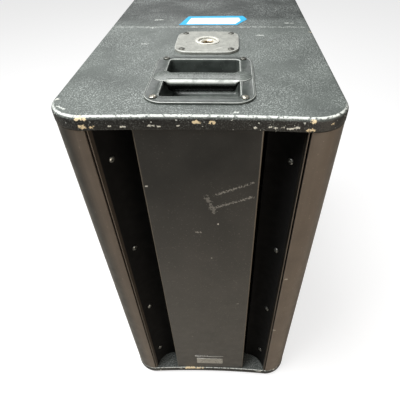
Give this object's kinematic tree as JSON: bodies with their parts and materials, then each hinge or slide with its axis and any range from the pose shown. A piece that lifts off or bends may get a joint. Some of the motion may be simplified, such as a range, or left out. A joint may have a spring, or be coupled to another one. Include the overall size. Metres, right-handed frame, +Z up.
{
  "type": "bass loudspeaker cabinet",
  "caption": "Powered bass loudspeaker cabinet with tall front slots, a recessed top grip, a pole thread plate, a rear amplifier panel and swivel casters.",
  "frame": {"origin": "on the floor under the middle of the object's box: midway between the sides, and midway between the front edge and the wheels' outermost tread", "axes": "+Z up, front faces -Y, +X to the right seen from the front"},
  "size_m": [0.356, 0.711, 0.6834],
  "materials": {
    "textured_paint": "black textured paint on plywood, scuffed",
    "painted_plywood": "black paint on plywood",
    "front_panel_paint": "fine black paint, satin",
    "wing_plastic": "moulded satin plastic",
    "raw_wood": "bare plywood",
    "black_screw": "black oxide",
    "plated_screw": "zinc plated",
    "cup_plastic": "moulded, worn",
    "grip_casting": "painted casting, worn",
    "plate_casting": "cast, paint worn through",
    "foot_rubber": "moulded",
    "badge_metal": "satin, blank",
    "tape": "blue tape with a blank white strip",
    "basket_casting": "black coated casting",
    "ferrite": "ferrite, matt",
    "motor_steel": "zinc plated",
    "cone_paper": "pressed pulp",
    "coil": "enamelled winding on a former",
    "surround_rubber": "treated cloth roll",
    "spider_cloth": "resin cloth",
    "amp_paint": "black powder coat",
    "circuit_laminate": "solder mask",
    "transformer_tape": "wound tape",
    "capacitor_sleeve": "shrunk sleeve",
    "socket_plastic": "moulded",
    "switch_plastic": "moulded",
    "wire_jacket": "round jacket",
    "zinc_plate": "zinc plated",
    "wheel_rubber": "moulded tread"
  },
  "bodies": {
    "cabinet": {"top_board": "textured_paint", "bottom_board": "textured_paint", "left_side_board": "painted_plywood", "right_side_board": "painted_plywood", "back_board": "painted_plywood", "driver_baffle": "painted_plywood", "centre_front_panel": "front_panel_paint", "left_wing": "wing_plastic", "right_wing": "wing_plastic", "wing_battens": "raw_wood", "front_brace": "raw_wood", "window_brace": "raw_wood", "wing_screws": "black_screw", "driver_screws": "black_screw", "amp_screws": "black_screw", "top_screws": "plated_screw", "caster_screws": "plated_screw", "handle_cup": "cup_plastic", "handle_grip": "grip_casting", "pole_plate": "plate_casting", "pole_socket": "plate_casting", "rubber_feet": "foot_rubber", "badge": "badge_metal", "tape_label": "tape", "upper_basket": "basket_casting", "upper_magnet": "ferrite", "upper_motor_steel": "motor_steel", "upper_surround": "surround_rubber", "upper_spider": "spider_cloth", "lower_basket": "basket_casting", "lower_magnet": "ferrite", "lower_motor_steel": "motor_steel", "lower_surround": "surround_rubber", "lower_spider": "spider_cloth", "amp_panel": "amp_paint", "heat_sink": "amp_paint", "circuit_board": "circuit_laminate", "transformer": "transformer_tape", "capacitors": "capacitor_sleeve", "signal_sockets": "socket_plastic", "power_inlet": "socket_plastic", "speaker_wires": "wire_jacket", "caster_plates": "zinc_plate"},
    "upper_cone": {"upper_cone": "cone_paper", "upper_dust_cap": "cone_paper", "upper_voice_coil": "coil"},
    "lower_cone": {"lower_cone": "cone_paper", "lower_dust_cap": "cone_paper", "lower_voice_coil": "coil"},
    "gain_knob": {"gain_knob": "socket_plastic"},
    "power_switch": {"power_switch": "switch_plastic"},
    "mode_switch": {"mode_switch": "switch_plastic"},
    "upper_left_fork": {"upper_left_fork": "zinc_plate"},
    "upper_left_wheel": {"upper_left_wheel": "wheel_rubber"},
    "upper_right_fork": {"upper_right_fork": "zinc_plate"},
    "upper_right_wheel": {"upper_right_wheel": "wheel_rubber"},
    "lower_left_fork": {"lower_left_fork": "zinc_plate"},
    "lower_left_wheel": {"lower_left_wheel": "wheel_rubber"},
    "lower_right_fork": {"lower_right_fork": "zinc_plate"},
    "lower_right_wheel": {"lower_right_wheel": "wheel_rubber"}
  },
  "joints": [
    {"name": "upper_cone_travel", "type": "slide", "parent": "cabinet", "child": "upper_cone", "axis": [0, -1, 0], "range_m": [-0.008, 0.008], "stiffness_N_per_m": 5000, "deforming": ["upper_surround", "upper_spider"]},
    {"name": "lower_cone_travel", "type": "slide", "parent": "cabinet", "child": "lower_cone", "axis": [0, -1, 0], "range_m": [-0.008, 0.008], "stiffness_N_per_m": 5000, "deforming": ["lower_surround", "lower_spider"]},
    {"name": "gain_turn", "type": "hinge", "parent": "cabinet", "child": "gain_knob", "pos_m": [-0.08, 0.2585, 0.2975], "axis": [0, 1, 0], "range_deg": [-140, 140]},
    {"name": "power_rock", "type": "hinge", "parent": "cabinet", "child": "power_switch", "pos_m": [0.084, 0.2585, 0.2755], "axis": [1, 0, 0], "range_deg": [0, 14]},
    {"name": "mode_slide", "type": "slide", "parent": "cabinet", "child": "mode_switch", "axis": [1, 0, 0], "range_m": [-0.003, 0.003]},
    {"name": "upper_left_swivel", "type": "hinge", "parent": "cabinet", "child": "upper_left_fork", "pos_m": [-0.113, 0.2635, 0.601], "axis": [0, 1, 0], "continuous": true},
    {"name": "upper_left_roll", "type": "hinge", "parent": "upper_left_fork", "child": "upper_left_wheel", "pos_m": [-0.113, 0.318, 0.579], "axis": [1, 0, 0], "continuous": true},
    {"name": "upper_right_swivel", "type": "hinge", "parent": "cabinet", "child": "upper_right_fork", "pos_m": [0.113, 0.2635, 0.601], "axis": [0, 1, 0], "continuous": true},
    {"name": "upper_right_roll", "type": "hinge", "parent": "upper_right_fork", "child": "upper_right_wheel", "pos_m": [0.113, 0.318, 0.579], "axis": [1, 0, 0], "continuous": true},
    {"name": "lower_left_swivel", "type": "hinge", "parent": "cabinet", "child": "lower_left_fork", "pos_m": [-0.113, 0.2635, 0.082], "axis": [0, 1, 0], "continuous": true},
    {"name": "lower_left_roll", "type": "hinge", "parent": "lower_left_fork", "child": "lower_left_wheel", "pos_m": [-0.113, 0.318, 0.06], "axis": [1, 0, 0], "continuous": true},
    {"name": "lower_right_swivel", "type": "hinge", "parent": "cabinet", "child": "lower_right_fork", "pos_m": [0.113, 0.2635, 0.082], "axis": [0, 1, 0], "continuous": true},
    {"name": "lower_right_roll", "type": "hinge", "parent": "lower_right_fork", "child": "lower_right_wheel", "pos_m": [0.113, 0.318, 0.06], "axis": [1, 0, 0], "continuous": true}
  ]
}
